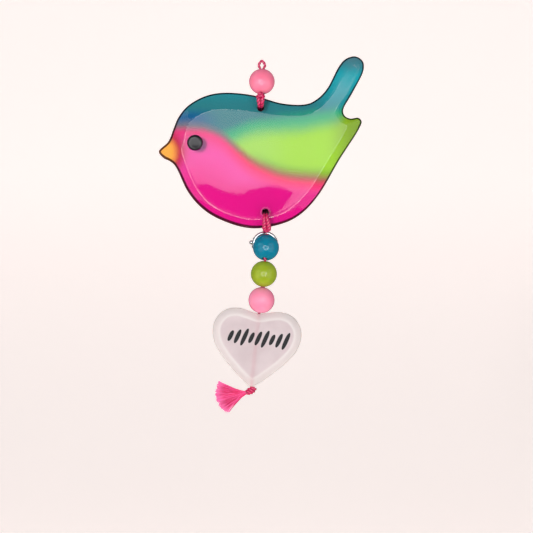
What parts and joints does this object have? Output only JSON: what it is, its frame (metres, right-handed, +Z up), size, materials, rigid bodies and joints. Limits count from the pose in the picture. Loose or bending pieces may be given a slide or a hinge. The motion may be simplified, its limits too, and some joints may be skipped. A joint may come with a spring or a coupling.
{
  "type": "stained glass suncatcher",
  "caption": "Hanging glass bird suncatcher with a rounded rim, beads on a cord, a frosted glass heart and a thread tassel.",
  "frame": {"origin": "top of the small hanging loop above the top bead", "axes": "+Z up as it hangs, +Y through the glass away from the viewer, +X to the right as seen from the front"},
  "size_m": [0.0798, 0.0133, 0.1411],
  "materials": {
    "bird_glass": "clear polished glass over a layer of teal, green, pink and orange",
    "black_glass": "glossy black glass",
    "pink_glass": "polished translucent pink glass",
    "teal_glass": "polished translucent teal glass",
    "green_glass": "polished translucent green glass",
    "frosted_glass": "frosted white translucent glass",
    "cord": "satin hot pink cord",
    "thread": "matte hot pink thread",
    "silver": "polished silver wire"
  },
  "bodies": {
    "root": {"glass_bird": "bird_glass", "eye_dot": "black_glass", "top_bead": "pink_glass", "hanging_cord": "cord", "link_cord": "cord", "clasp_ring": "silver", "bead_cord": "cord", "teal_bead": "teal_glass", "green_bead": "green_glass", "pink_bead": "pink_glass", "glass_heart": "frosted_glass", "tassel_knot": "cord", "tassel": "thread"}
  },
  "joints": []
}
